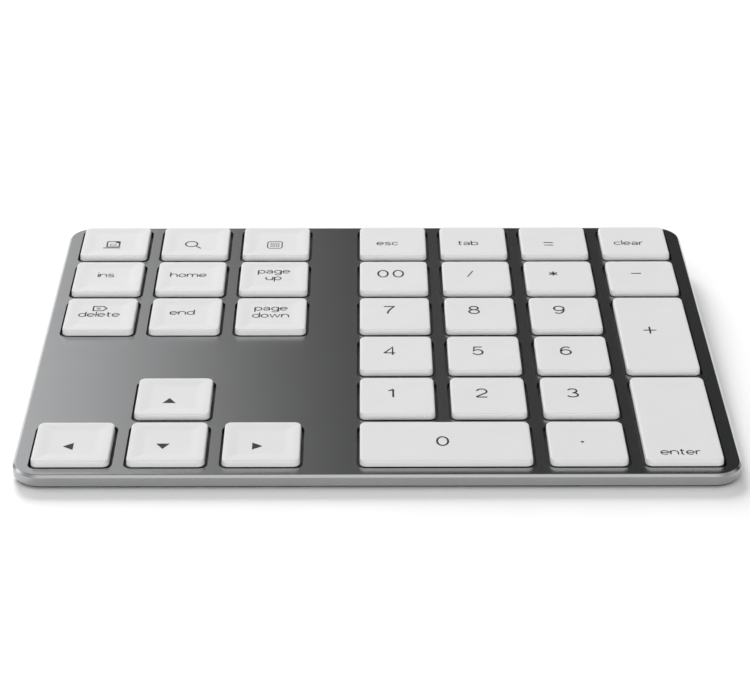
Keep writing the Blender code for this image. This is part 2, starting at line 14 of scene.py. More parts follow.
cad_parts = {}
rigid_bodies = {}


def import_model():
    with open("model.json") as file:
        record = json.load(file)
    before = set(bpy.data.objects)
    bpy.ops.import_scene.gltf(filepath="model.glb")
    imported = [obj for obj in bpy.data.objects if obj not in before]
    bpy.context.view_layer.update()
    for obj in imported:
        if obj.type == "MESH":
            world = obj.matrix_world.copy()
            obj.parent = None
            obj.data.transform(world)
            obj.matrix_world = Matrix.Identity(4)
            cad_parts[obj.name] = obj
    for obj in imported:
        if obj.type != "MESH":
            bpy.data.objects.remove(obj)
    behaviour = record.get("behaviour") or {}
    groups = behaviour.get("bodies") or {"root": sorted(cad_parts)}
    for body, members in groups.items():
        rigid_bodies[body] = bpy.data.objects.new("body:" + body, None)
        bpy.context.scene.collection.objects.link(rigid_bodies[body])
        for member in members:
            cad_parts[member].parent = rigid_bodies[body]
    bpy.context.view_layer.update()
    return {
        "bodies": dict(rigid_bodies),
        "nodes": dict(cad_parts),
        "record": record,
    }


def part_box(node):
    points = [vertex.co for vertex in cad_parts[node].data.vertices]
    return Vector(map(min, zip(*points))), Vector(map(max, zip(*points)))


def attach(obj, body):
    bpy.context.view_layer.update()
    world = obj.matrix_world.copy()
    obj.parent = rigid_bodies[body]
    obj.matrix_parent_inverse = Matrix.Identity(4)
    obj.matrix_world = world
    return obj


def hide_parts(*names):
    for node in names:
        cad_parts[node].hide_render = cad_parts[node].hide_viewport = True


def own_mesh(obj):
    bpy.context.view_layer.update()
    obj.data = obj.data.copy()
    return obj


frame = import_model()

MM = 0.001
RECORD = frame["record"]
NODES = frame["nodes"]
KEY_NAMES = [b for b in frame["bodies"] if b.startswith("key_")]
LEFT_BLOCK = {"key_display", "key_search", "key_calculator", "key_insert", "key_home", "key_page_up",
              "key_delete", "key_end", "key_page_down", "key_up", "key_left", "key_down", "key_right"}

# Case
TILT = math.radians(2.8)
FRONT_HEIGHT = 3.1 * MM
DECK_SHIFT = -0.066 * MM
CASE_DEPTH = 114.1 * MM
CASE_CORNER = 6.0 * MM
SKIRT_DROP = 2.45 * MM
SKIRT_WALL = 1.2 * MM
SKIRT_ROUND = 0.22 * MM
SKIRT_LIP = 0.1 * MM
PLATE = 0.9 * MM
CHAMFER = 0.44 * MM
ROLL = 0.20 * MM                 # gently sloping band between the chamfer and the flat plate
ROLL_DROP = 0.035 * MM
KEY_GAP = 0.6 * MM
PLATE_SHARP = 5.0                # degrees; any more tilts the shading of the flat plate

# Keycaps
KEY_TOP = 1.3 * MM
KEY_RIM = -0.05 * MM
KEY_UNDERSIDE = 0.45 * MM
KEY_WALL = 0.9 * MM
KEY_CORNER = 1.4 * MM
LEAST_CORNER = 0.35 * MM
KEY_LIP = 0.05 * MM              # bevel round the lower rim
KEY_DRAFT = 0.04 * MM
TOP_EDGE = 0.34 * MM             # radius where a keycap's wall meets its top
DISH_START = 0.9 * MM
DISH_DEEP = 0.16 * MM            # sculpted keys of the left block
DISH_DEEP_REACH = 2.6 * MM
DISH_SHALLOW = 0.05 * MM
DISH_SHALLOW_REACH = 5.0 * MM
FINE_RINGS = 3.6 * MM            # rings of a key's top are close together up to this inset
FINE_STEP = 0.28 * MM
COARSE_STEP = 1.0 * MM
LAST_RING = 0.4 * MM             # from the middle of the key
LEGEND_LIFT = 0.008 * MM

# Under the keys
SHEET_TOP = -1.35 * MM
SHEET_THICK = 0.15 * MM
SHEET_CORNER = 4.0 * MM
SHEET_HOLE = 1.8 * MM            # radius round a screw boss
DOME_HEIGHT = 1.5 * MM
DOME_PROFILE = ((2.6, 0.0), (2.5, 0.12), (2.3, 0.3), (1.7, 0.75),    # radius in millimetres, and
                (1.35, 0.95), (1.1, 1.0))                            # share of the height
LIFT_REACH = 4.6 * MM
LIFT_HALF_WIDTHS = (5.4 * MM, 4.5 * MM)
LIFT_ARM = (0.7 * MM, 0.35 * MM)    # thickness and height
LIFT_CROSSBAR = (0.5 * MM, 0.35 * MM)
LIFT_CLEARANCE = 0.2 * MM

# Bottom cover
COVER_RIM_DROP = 1.3 * MM
COVER_STEP_DROP = 2.5 * MM
COVER_BASE = 0.25 * MM
COVER_FLOOR = 0.5 * MM
COVER_RIM_INSET = 1.35 * MM
COVER_WALL = 0.9 * MM
COVER_OUTER = 0.35 * MM
COVER_ROUND = 0.2 * MM
COVER_INSIDE = (3.4 * MM, 2.9 * MM, 1.5 * MM)    # insets of the pan's floor: front, side, back
COVER_INSIDE_CORNER = 3.2 * MM
PILLAR_RADIUS = 2.6 * MM
PILLAR_DROP = 2.35 * MM
PILLAR_FOOT = COVER_BASE + 0.3 * MM
HEAD_BORE = 1.8 * MM             # radii of a screw's counterbore and shank hole
SHANK_BORE = 0.9 * MM
HEAD_SEAT = -3.0 * MM
BORE_TOP = -1.3 * MM
BORE_BOTTOM = -12.0 * MM         # well below the pan
FOOT_CLEARANCE = 0.3 * MM
POCKET_TOP = COVER_BASE + 0.25 * MM
FOOT_SIDES = ("front_left", "front_right", "back_left", "back_right")

# Feet: radius and height of each ring, as shares of the whole
FOOT_PROFILE = ((0.15, 0.10), (0.50, 0.10), (0.55, 0.0), (0.62, 0.0), (0.67, 0.10), (0.74, 0.10),
                (0.79, 0.0), (0.94, 0.0), (0.98, 0.08), (1.0, 0.25), (1.0, 1.0))
FOOT_SHARP = 40.0

# Case screws
HEAD_HEIGHT = 0.7 * MM
HEAD_PROFILE = ((1.1, 0.0), (1.35, 0.08), (1.48, 0.3))    # radius and height, in millimetres
HEAD_RADIUS = 1.48 * MM
THREAD_CREST = 0.6 * MM
THREAD_ROOT = 0.5 * MM
THREAD_STEPS = 12
CROSS_ARM = (1.7 * MM, 0.34 * MM)
CROSS_DEPTH = 0.4 * MM

# Back edge
OPENING_REACH = 5.0 * MM         # of a cutter, in front of and behind the back wall
HAIR = 0.01 * MM                 # half of the straight left between the two quarters of a round end
SOCKET_SPARE = 0.8 * MM
SOCKET_WALL = 0.3 * MM
SOCKET_DEPTH = 5.6 * MM
SOCKET_LIP = 0.08 * MM
TONGUE = (6.6 * MM, 0.7 * MM)
TONGUE_NOSE = (6.4 * MM, 0.5 * MM)
TONGUE_FRONT = (1.2 * MM, 1.0 * MM)    # where the nose starts and ends, from the mouth
CONTACTS = 12
CONTACT_PITCH = 0.5 * MM
CONTACT_SIZE = (0.25 * MM, 3.2 * MM)
CONTACT_BACK = 2.9 * MM
CONTACT_THICK = 0.03 * MM
SWITCH_OPENING = (5.2 * MM, 2.0 * MM)
SWITCH_SHIFT = 1.0 * MM          # middle of the opening from the middle of the knob at rest
FLANGE = (3.4 * MM, 2.6 * MM, 0.3 * MM)    # width, height and corner, as in KNOB and GROOVE
FLANGE_DEPTH = 0.4 * MM
KNOB = (2.2 * MM, 1.3 * MM, 0.2 * MM)
KNOB_BEVEL = (0.15 * MM, -0.2 * MM)    # depth, and change of the face's width and height
GROOVES = 3
GROOVE = (0.22 * MM, 2.0 * MM, 0.1 * MM)
GROOVE_PITCH = 0.55 * MM
GROOVE_DEPTH = 0.2 * MM


# ---------------------------------------------------------------- deck frame
def deck_box(node):
    """Lowest and highest corner of a CAD node in the deck frame."""
    points = [TO_DECK @ v.co for v in NODES[node].data.vertices]
    low = Vector([min(p[i] for p in points) for i in range(3)])
    high = Vector([max(p[i] for p in points) for i in range(3)])
    return low, high


def span(node):
    """Centre and size of a CAD node across the deck: x, y, width, depth."""
    low, high = deck_box(node)
    return (low.x + high.x) / 2, (low.y + high.y) / 2, high.x - low.x, high.y - low.y


DECK_HEIGHT = FRONT_HEIGHT + CASE_DEPTH / 2 * math.sin(TILT)
DECK = Matrix.Translation((0.0, DECK_SHIFT, DECK_HEIGHT)) @ Matrix.Rotation(TILT, 4, "X")
TO_DECK = DECK.inverted()
CASE_WIDTH = span("top_case")[2]


def deck_z(height, y):
    """Deck-frame z of a point at a height above the table."""
    return (height - DECK_HEIGHT - y * math.sin(TILT)) / math.cos(TILT)


# ---------------------------------------------------------------- materials
ROUGHNESS_SCALE = 90.0           # features per metre of the slow changes over a surface
COLOUR_SCALE = 140.0
NOISE_RANGE = (0.3, 0.7)         # most of the noise lies between these


class Nodes:
    """Short way to write a node tree."""

    def __init__(self, tree):
        self.tree = tree

    def add(self, kind, **settings):
        node = self.tree.nodes.new(kind)
        for key, value in settings.items():
            setattr(node, key, value)
        return node

    def link(self, source, target):
        self.tree.links.new(source, target)

    def value(self, socket, item):
        """Sets a socket from a number, or links it."""
        if hasattr(item, "is_output"):
            self.link(item, socket)
        else:
            socket.default_value = item

    def math(self, operation, a, b=0.0, clamp=False):
        node = self.add("ShaderNodeMath", operation=operation, use_clamp=clamp)
        self.value(node.inputs[0], a)
        self.value(node.inputs[1], b)
        return node.outputs[0]

    def ramp(self, factor, low, high, to_low=0.0, to_high=1.0):
        """Smooth step between two values."""
        node = self.add("ShaderNodeMapRange", interpolation_type="SMOOTHSTEP")
        self.value(node.inputs["Value"], factor)
        for name, item in (("From Min", low), ("From Max", high), ("To Min", to_low), ("To Max", to_high)):
            node.inputs[name].default_value = item
        return node.outputs["Result"]

    def noise(self, scale, detail=3.0, roughness=0.55, stretch=(1.0, 1.0, 1.0)):
        """Noise in object coordinates; scale is features per metre."""
        place = self.add("ShaderNodeTexCoord")
        mapping = self.add("ShaderNodeMapping")
        mapping.inputs["Scale"].default_value = stretch
        self.link(place.outputs["Object"], mapping.inputs["Vector"])
        node = self.add("ShaderNodeTexNoise")
        self.link(mapping.outputs["Vector"], node.inputs["Vector"])
        node.inputs["Scale"].default_value = scale
        node.inputs["Detail"].default_value = detail
        node.inputs["Roughness"].default_value = roughness
        return node.outputs["Fac"]


def principled(name, colour, roughness, metallic=0.0, grain=(), spread=0.0, colour_spread=0.0, **sockets):
    """Material with fine surface grain.

    grain is (features per metre, bump height in metres); spread varies the roughness and
    colour_spread the colour, both slowly over the surface.
    """
    material = bpy.data.materials.new(name)
    material.use_nodes = True
    nodes = Nodes(material.node_tree)
    shader = material.node_tree.nodes["Principled BSDF"]
    shader.inputs["Base Color"].default_value = (*colour, 1.0)
    shader.inputs["Roughness"].default_value = roughness
    shader.inputs["Metallic"].default_value = metallic
    for key, item in sockets.items():
        shader.inputs[key.replace("_", " ")].default_value = item
    if spread:
        slow = nodes.noise(ROUGHNESS_SCALE, 4.0)
        varied = nodes.ramp(slow, *NOISE_RANGE, roughness - spread, roughness + spread)
        nodes.link(varied, shader.inputs["Roughness"])
    if colour_spread:
        tone = nodes.noise(COLOUR_SCALE, 4.0)
        mix = nodes.add("ShaderNodeMixRGB")
        nodes.link(nodes.ramp(tone, *NOISE_RANGE), mix.inputs["Fac"])
        mix.inputs["Color1"].default_value = (*(c * (1 - colour_spread) for c in colour), 1.0)
        mix.inputs["Color2"].default_value = (*(min(c * (1 + colour_spread), 1.0) for c in colour), 1.0)
        nodes.link(mix.outputs["Color"], shader.inputs["Base Color"])
    if grain:
        bump = nodes.add("ShaderNodeBump")
        bump.inputs["Strength"].default_value = 1.0
        bump.inputs["Distance"].default_value = grain[1]
        nodes.link(nodes.noise(grain[0], 2.0), bump.inputs["Height"])
        nodes.link(bump.outputs["Normal"], shader.inputs["Normal"])
    return material


def make_materials():
    """Every finish, by short name."""
    return {
        "aluminium": principled("anodised_aluminium", (0.395, 0.399, 0.405), 0.25, 1.0,
                                grain=(9000.0, 0.0000008), colour_spread=0.01),
        "chamfer": principled("cut_chamfer", (0.75, 0.75, 0.755), 0.18, 1.0, grain=(4000.0, 0.0000005)),
        # painted shade: near-black paint on the walls of the top case's cut-outs and on its inside,
        # standing in for the shade there; the aluminium itself is not black
        "recess": principled("cut_out_painted_shade", (0.02, 0.02, 0.02), 0.6, grain=(4000.0, 0.000002)),
        "keycap": principled("keycap_plastic", (0.575, 0.575, 0.575), 0.40, grain=(7000.0, 0.0000015),
                             spread=0.04, colour_spread=0.006, IOR=1.48, Specular_IOR_Level=0.3),
        "ink": principled("legend_ink", (0.022, 0.022, 0.024), 0.5, grain=(12000.0, 0.000001), spread=0.04),
        "cover": principled("cover_plastic", (0.035, 0.035, 0.036), 0.5, grain=(5000.0, 0.000006),
                            spread=0.05, colour_spread=0.03),
        "rubber": principled("foot_rubber", (0.035, 0.035, 0.036), 0.82, grain=(3500.0, 0.000012),
                             spread=0.08, colour_spread=0.10),
        "silicone": principled("dome_silicone", (0.10, 0.10, 0.10), 0.55, grain=(2500.0, 0.000004),
                               spread=0.06),
        "link": principled("lift_plastic", (0.05, 0.05, 0.05), 0.45, grain=(3000.0, 0.000003)),
        "film": principled("membrane_film", (0.72, 0.73, 0.68), 0.30, grain=(1200.0, 0.000004),
                           spread=0.05, colour_spread=0.04),
        "steel": principled("steel", (0.58, 0.58, 0.59), 0.30, 1.0, grain=(3000.0, 0.000002),
                            spread=0.06, colour_spread=0.05),
        "contact": principled("gold_contact", (0.80, 0.58, 0.25), 0.25, 1.0, grain=(6000.0, 0.000001)),
        "board": principled("circuit_board", (0.015, 0.14, 0.06), 0.40, grain=(2200.0, 0.000010),
                            spread=0.06, colour_spread=0.20),
        "black": principled("black_plastic", (0.02, 0.02, 0.021), 0.42, grain=(5000.0, 0.000003),
                            spread=0.05, colour_spread=0.12),
        "battery": principled("battery_foil", (0.55, 0.56, 0.58), 0.36, 0.7, grain=(900.0, 0.00002),
                              spread=0.08, colour_spread=0.05),
        "lead": principled("lead_insulation", (0.42, 0.03, 0.03), 0.48, grain=(2500.0, 0.000006),
                           spread=0.05, colour_spread=0.10),
    }


CAD_FINISH = {
    "case_aluminium": "aluminium", "keycap_plastic": "keycap", "cover_plastic": "cover",
    "foot_rubber": "rubber", "silicone": "silicone", "film": "film", "steel": "steel",
    "circuit_board": "board", "black_plastic": "black", "battery_foil": "battery",
    "lead_insulation": "lead",
}


def finish_cad_nodes(finishes):
    """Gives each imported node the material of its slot."""
    for part in RECORD["subparts"]:
        mesh = NODES[part["node"]].data
        mesh.materials.clear()
        mesh.materials.append(finishes[CAD_FINISH[part["material_slot"]]])


# ---------------------------------------------------------------- mesh helpers
SHARP = 30.0                     # degrees
BEND_STEPS = 5                   # of a quarter turn round an edge


def rounded(width, depth, radius, segments=8, straights=1, centre=(0.0, 0.0)):
    """Rounded rectangle as (x, y) points, anticlockwise; each straight side is cut in equal steps."""
    points = []
    corners = ((1, 1, 0), (-1, 1, 90), (-1, -1, 180), (1, -1, 270))
    for sx, sy, start in corners:
        cx = centre[0] + sx * (width / 2 - radius)
        cy = centre[1] + sy * (depth / 2 - radius)
        for i in range(segments + 1):
            a = math.radians(start + 90 * i / segments)
            points.append((cx + radius * math.cos(a), cy + radius * math.sin(a)))
    if straights == 1:
        return points
    dense = []
    count = segments + 1
    for i, p in enumerate(points):
        dense.append(p)
        if i % count == segments:
            q = points[(i + 1) % len(points)]
            for k in range(1, straights):
                t = k / straights
                dense.append((p[0] + (q[0] - p[0]) * t, p[1] + (q[1] - p[1]) * t))
    return dense


def circle(radius, centre=(0.0, 0.0), sides=32):
    """Regular polygon as (x, y) points."""
    turn = 2 * math.pi / sides
    return [(centre[0] + radius * math.cos(i * turn), centre[1] + radius * math.sin(i * turn))
            for i in range(sides)]


def at(outline, z):
    """Outline lifted to a height, or onto a surface z(x, y)."""
    if callable(z):
        return [Vector((x, y, z(x, y))) for x, y in outline]
    return [Vector((x, y, z)) for x, y in outline]


def add_loft(bm, rings, finish=0):
    """Closed body through rings of equal length, capped at both ends."""
    loops = [[bm.verts.new(p) for p in ring] for ring in rings]
    faces = [bm.faces.new(loops[0]), bm.faces.new(loops[-1])]
    for low, high in zip(loops, loops[1:]):
        for i in range(len(low)):
            j = (i + 1) % len(low)
            faces.append(bm.faces.new((low[i], low[j], high[j], high[i])))
    bmesh.ops.recalc_face_normals(bm, faces=faces)
    for face in faces:
        face.material_index = finish


def shade(mesh, sharp=SHARP):
    """Smooth shading that keeps edges sharper than an angle in degrees."""
    mesh.shade_smooth()
    mesh.set_sharp_from_angle(angle=math.radians(sharp))


def to_mesh(bm, name):
    """Mesh from a bmesh, with no shading yet."""
    mesh = bpy.data.meshes.new(name)
    bm.to_mesh(mesh)
    bm.free()
    return mesh


def shaded_mesh(bm, name):
    mesh = to_mesh(bm, name)
    shade(mesh)
    return mesh


def lofted(name, bodies):
    """Unshaded mesh of lofted bodies."""
    bm = bmesh.new()
    for rings in bodies:
        add_loft(bm, rings)
    return to_mesh(bm, name)


def show(name, mesh, materials, body, matrix, replaced=()):
    """Puts a finished piece in the scene on its body; matrix takes the mesh to the row's frame."""
    piece = bpy.data.objects.new(name, mesh)
    bpy.context.scene.collection.objects.link(piece)
    for material in materials:
        mesh.materials.append(material)
    mesh.transform(matrix)
    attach(piece, body)
    if replaced:
        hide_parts(*replaced)
    return piece


# ---------------------------------------------------------------- keycaps
def inside_edge(x, y, width, depth, corner=KEY_CORNER):
    """Distance of a point from the edge of a rounded rectangle, inwards."""
    qx = abs(x) - (width / 2 - corner)
    qy = abs(y) - (depth / 2 - corner)
    outside = math.hypot(max(qx, 0.0), max(qy, 0.0))
    return corner - outside - min(max(qx, qy), 0.0)


def smooth(t):
    """Smooth step from 0 to 1."""
    t = min(max(t, 0.0), 1.0)
    return t * t * (3 - 2 * t)


def key_surface(node, width, depth):
    """Height of a key's top: a dish with sloping borders on the left block, almost flat on the right."""
    sculpted = node in LEFT_BLOCK
    deep = DISH_DEEP if sculpted else DISH_SHALLOW
    reach = DISH_DEEP_REACH if sculpted else DISH_SHALLOW_REACH

    def height(x, y):
        return KEY_TOP - deep * smooth((inside_edge(x, y, width, depth) - DISH_START) / reach)

    return height


def keycap(node, finishes):
    """Hollow cap with soft edges and a dished top, standing for its CAD solid."""
    low, high = deck_box(node)
    width, depth = high.x - low.x, high.y - low.y
    surface = key_surface(node, width, depth)

    def outline(inset):
        return rounded(width - 2 * inset, depth - 2 * inset, max(KEY_CORNER - inset, LEAST_CORNER), 7, 5)

    rings = [at(outline(KEY_WALL), KEY_UNDERSIDE), at(outline(KEY_WALL), KEY_RIM + KEY_LIP),
             at(outline(KEY_WALL - KEY_LIP), KEY_RIM), at(outline(KEY_LIP), KEY_RIM),
             at(outline(0.0), KEY_RIM + KEY_LIP)]
    for i in range(BEND_STEPS + 1):
        a = math.pi / 2 * i / BEND_STEPS
        inset = KEY_DRAFT + TOP_EDGE * (1 - math.cos(a))
        rings.append(at(outline(inset), KEY_TOP - TOP_EDGE * (1 - math.sin(a))))
    inset = KEY_DRAFT + TOP_EDGE
    limit = min(width, depth) / 2
    while inset < limit - COARSE_STEP:
        inset += FINE_STEP if inset < FINE_RINGS else COARSE_STEP
        rings.append(at(outline(min(inset, limit - LAST_RING)), surface))
    mesh = lofted(f"{node}_cap", [rings])
    shade(mesh)
    middle = Vector(((low.x + high.x) / 2, (low.y + high.y) / 2, 0.0))
    show(f"{node}_cap", mesh, [finishes["keycap"]], node,
         DECK @ Matrix.Translation(middle), [node])
    return middle, surface


# ---------------------------------------------------------------- lettering
def arc(cx, cy, rx, ry, start, end):
    """Points along an ellipse between two angles in degrees."""
    steps = max(int(abs(end - start) / 20), 2)
    turns = [math.radians(start + (end - start) * i / steps) for i in range(steps + 1)]
    return [(cx + rx * math.cos(a), cy + ry * math.sin(a)) for a in turns]


def small_letters():
    """Lower-case letters as (width, strokes), with the small letters one unit tall."""
    wide, base, top, rise, drop = 0.84, 0.08, 0.92, 1.36, -0.36
    half, middle, bowl = wide / 2, 0.5, 0.42
    ring = arc(half, middle, half, bowl, 0, 360)
    arch = [(0.0, middle)] + arc(half, middle, half, bowl, 180, 0) + [(wide, base)]
    step = 0.66
    humps = [arc(step / 2 + x, middle, step / 2, bowl, 180, 0) + [(x + step, base)] for x in (0.0, step)]
    return {
        "a": (0.78, [arc(0.37, 0.66, 0.33, 0.26, 160, 20) + [(0.72, 0.55), (0.72, base)],
                     arc(0.37, 0.30, 0.35, 0.22, 0, 360)]),
        "b": (wide, [[(0.0, base), (0.0, rise)], ring]),
        "c": (0.78, [arc(half, middle, half, bowl, 42, 318)]),
        "d": (wide, [[(wide, base), (wide, rise)], ring]),
        "e": (wide, [[(0.0, middle)] + arc(half, middle, half, bowl, 0, 318)]),
        "g": (wide, [[(wide, top), (wide, 0.0)] + arc(half, 0.0, half, -drop, 0, -150), ring]),
        "h": (wide, [[(0.0, base), (0.0, rise)], arch]),
        "i": (0.0, [[(0.0, base), (0.0, top)], [(0.0, 1.2), (0.0, rise)]]),
        "l": (0.0, [[(0.0, base), (0.0, rise)]]),
        "m": (2 * step, [[(0.0, base), (0.0, top)], *humps]),
        "n": (wide, [[(0.0, base), (0.0, top)], arch]),
        "o": (wide, [ring]),
        "p": (wide, [[(0.0, drop), (0.0, top)], ring]),
        "r": (0.45, [[(0.0, base), (0.0, top)], arc(half, middle, half, bowl, 180, 80)]),
        "s": (0.70, [arc(0.35, 0.71, 0.32, 0.21, 25, 270) + arc(0.35, 0.29, 0.34, 0.21, 90, -155)[1:]]),
        "t": (0.50, [[(0.20, 1.22), (0.20, 0.28)] + arc(0.40, 0.28, 0.20, 0.20, 180, 280),
                     [(0.0, top), (0.50, top)]]),
        "u": (wide, [[(0.0, top), (0.0, middle)] + arc(half, middle, half, bowl, 180, 360),
                     [(wide, base), (wide, top)]]),
        "w": (1.24, [[(0.0, top), (0.31, base), (0.62, top), (0.93, base), (1.24, top)]]),
    }


def figures():
    """Digits as (width, strokes), one unit tall."""
    wide, base, top, middle = 0.60, 0.045, 0.955, 0.30
    return {
        "0": (wide, [arc(middle, 0.5, middle, 0.455, 0, 360)]),
        "1": (0.28, [[(0.0, 0.78), (0.14, 0.82), (0.26, top)], [(0.27, base), (0.27, top)]]),
        "2": (wide, [arc(middle, 0.68, 0.28, 0.275, 165, -35) + [(0.02, 0.12), (0.02, base)],
                     [(0.0, base), (wide, base)]]),
        "3": (wide, [arc(0.29, 0.73, 0.25, 0.225, 160, -90), arc(0.29, 0.275, 0.30, 0.23, 90, -162)]),
        "4": (0.62, [[(0.47, base), (0.47, top), (0.0, 0.29), (0.0, 0.27), (0.62, 0.27)]]),
        "5": (wide, [[(0.55, top), (0.11, top), (0.05, 0.50)] + arc(0.29, 0.34, 0.29, 0.295, 140, -160)]),
        "6": (wide, [arc(middle, 0.33, 0.29, 0.285, 0, 360), arc(0.34, 0.46, 0.33, 0.495, 180, 52)]),
        "7": (wide, [[(0.0, top), (wide, top), (0.40, 0.62), (0.26, 0.32), (0.22, base)]]),
        "8": (wide, [arc(middle, 0.74, 0.25, 0.215, 0, 360), arc(middle, 0.285, 0.30, 0.24, 0, 360)]),
        "9": (wide, [arc(middle, 0.67, 0.29, 0.285, 0, 360), arc(0.26, 0.54, 0.33, 0.495, 0, -128)]),
    }


STROKE = 0.41 * MM               # of digits and signs
WORD_STROKE = 0.29 * MM
ICON_STROKE = 0.36 * MM
FINE_STROKE = 0.22 * MM
WORD_HEIGHT = 1.80 * MM          # height of the small letters
WORD_SPACE = 0.224               # gap between letters, in letter heights
WORD_LEADING = 3.4 * MM
DIGIT_HEIGHT = 3.75 * MM
DIGIT_SPACE = 0.34
SAME_POINT = 0.001 * MM
SHARPEST_MITRE = 0.5
LETTERS = small_letters()
FIGURES = figures()


def add_stroke(bm, path, width=STROKE):
    """Flat ribbon along a path, mitred at its corners; a path that ends where it began is a loop."""
    points = [Vector((*p, 0.0)) for p in path]
    closed = (points[0] - points[-1]).length < SAME_POINT
    if closed:
        points.pop()
    count = len(points)
    pairs = []
    for i, p in enumerate(points):
        before = points[i - 1] if i or closed else None
        after = points[(i + 1) % count] if i < count - 1 or closed else None
        into = (p - before).normalized() if before is not None else (after - p).normalized()
        out = (after - p).normalized() if after is not None else into
        along = into + out
        normal = Vector((-along.y, along.x, 0.0)).normalized()
        half = width / 2 / max(normal.dot(Vector((-into.y, into.x, 0.0))), SHARPEST_MITRE)
        pairs.append((bm.verts.new(p - normal * half), bm.verts.new(p + normal * half)))
    for i in range(count if closed else count - 1):
        a, b = pairs[i], pairs[(i + 1) % count]
        bm.faces.new((a[0], b[0], b[1], a[1]))


def add_loop(bm, points, width=STROKE):
    add_stroke(bm, [*points, points[0]], width)


def add_shape(bm, points):
    bm.faces.new([bm.verts.new((x, y, 0.0)) for x, y in points])


def add_text(bm, text, glyphs, unit, space, baseline, width):
    """One line of text, centred on x = 0."""
    advances = [glyphs[c][0] for c in text]
    x = -(sum(advances) + space * (len(text) - 1)) / 2
    for c, advance in zip(text, advances):
        for stroke in glyphs[c][1]:
            add_stroke(bm, [((x + px) * unit, baseline + py * unit) for px, py in stroke], width)
        x += advance + space


def word(*lines, baseline=0.0):
    """Legend of one or two lines of small letters; the baseline is in millimetres."""
    def draw(bm):
        for i, line in enumerate(lines):
            below = i * WORD_LEADING
            add_text(bm, line, LETTERS, WORD_HEIGHT, WORD_SPACE, baseline * MM - below, WORD_STROKE)
    return draw


def number(text):
    """Legend of one or two digits, centred on its place."""
    def draw(bm):
        add_text(bm, text, FIGURES, DIGIT_HEIGHT, DIGIT_SPACE, -DIGIT_HEIGHT / 2, STROKE)
    return draw


def lines(*strokes, width=STROKE):
    """Legend of straight strokes, in millimetres."""
    def draw(bm):
        for stroke in strokes:
            add_stroke(bm, [(x * MM, y * MM) for x, y in stroke], width)
    return draw


def arrow(turn):
    """Solid triangle; turn is in quarters from pointing up."""
    half, tall = 1.4 * MM, 1.05 * MM
    c, s = math.cos(turn * math.pi / 2), math.sin(turn * math.pi / 2)
    corners = ((-half, -tall), (half, -tall), (0.0, tall))

    def draw(bm):
        add_shape(bm, [(x * c - y * s, x * s + y * c) for x, y in corners])
    return draw


def display_icon(bm):
    """Computer with its lid open: lid with a folded corner, a loop inside it, and a base line."""
    lid = (0.25 * MM, 0.25 * MM)
    add_loop(bm, rounded(2.9 * MM, 2.9 * MM, 0.3 * MM, 3, 1, lid), ICON_STROKE)
    add_loop(bm, rounded(1.3 * MM, 1.0 * MM, 0.4 * MM, 3, 1, (0.2 * MM, -0.1 * MM)), 0.2 * MM)
    base = -1.75 * MM
    add_stroke(bm, [(-2.0 * MM, base), (2.05 * MM, base)], 0.42 * MM)
    add_shape(bm, [(0.5 * MM, 1.7 * MM), (0.9 * MM, 0.9 * MM), (1.7 * MM, 0.6 * MM), (1.7 * MM, 1.7 * MM)])


def search_icon(bm):
    """Magnifying glass."""
    add_loop(bm, circle(1.4 * MM, (-0.45 * MM, 0.45 * MM), 28), ICON_STROKE)
    add_stroke(bm, [(0.55 * MM, -0.55 * MM), (1.9 * MM, -1.9 * MM)], ICON_STROKE)


def calculator_icon(bm):
    """Rounded frame filled with rows of buttons."""
    add_loop(bm, rounded(3.4 * MM, 3.8 * MM, 0.8 * MM, 5), 0.26 * MM)
    columns, rows = 5, 4
    across, down, half = 0.46 * MM, 0.66 * MM, 0.24 * MM
    for column in range(columns):
        x = (column - (columns - 1) / 2) * across
        for row in range(rows):
            y = (row - (rows - 1) / 2) * down
            add_stroke(bm, [(x, y - half), (x, y + half)], FINE_STROKE)


def delete_icon(bm):
    """Word with a forward-erase tag over it: a box with a pointed end and a cross inside."""
    word("delete", baseline=-2.5)(bm)
    half, tall, tip, y = 1.5 * MM, 1.05 * MM, 0.8 * MM, 1.5 * MM
    shoulder = half - tip
    tag = [(-half, y - tall), (shoulder, y - tall), (half, y), (shoulder, y + tall), (-half, y + tall)]
    add_loop(bm, tag, 0.34 * MM)
    size, x = 0.42 * MM, -0.35 * MM
    for sign in (-1, 1):
        add_stroke(bm, [(x - size, y - sign * size), (x + size, y + sign * size)], FINE_STROKE)


def star(bm):
    """Six-armed asterisk."""
    arm = 1.05 * MM
    for turn in range(3):
        a = math.radians(90 + 60 * turn)
        x, y = arm * math.cos(a), arm * math.sin(a)
        add_stroke(bm, [(-x, -y), (x, y)])


def dot(bm):
    add_shape(bm, circle(0.34 * MM, sides=16))


WORD_PLACE = (-1.25, -2.1)
DIGIT_PLACE = (-1.3, 1.1)
UPPER_DIGIT_PLACE = (-1.3, 1.75)
ARROW_PLACE = (-0.85, -1.65)

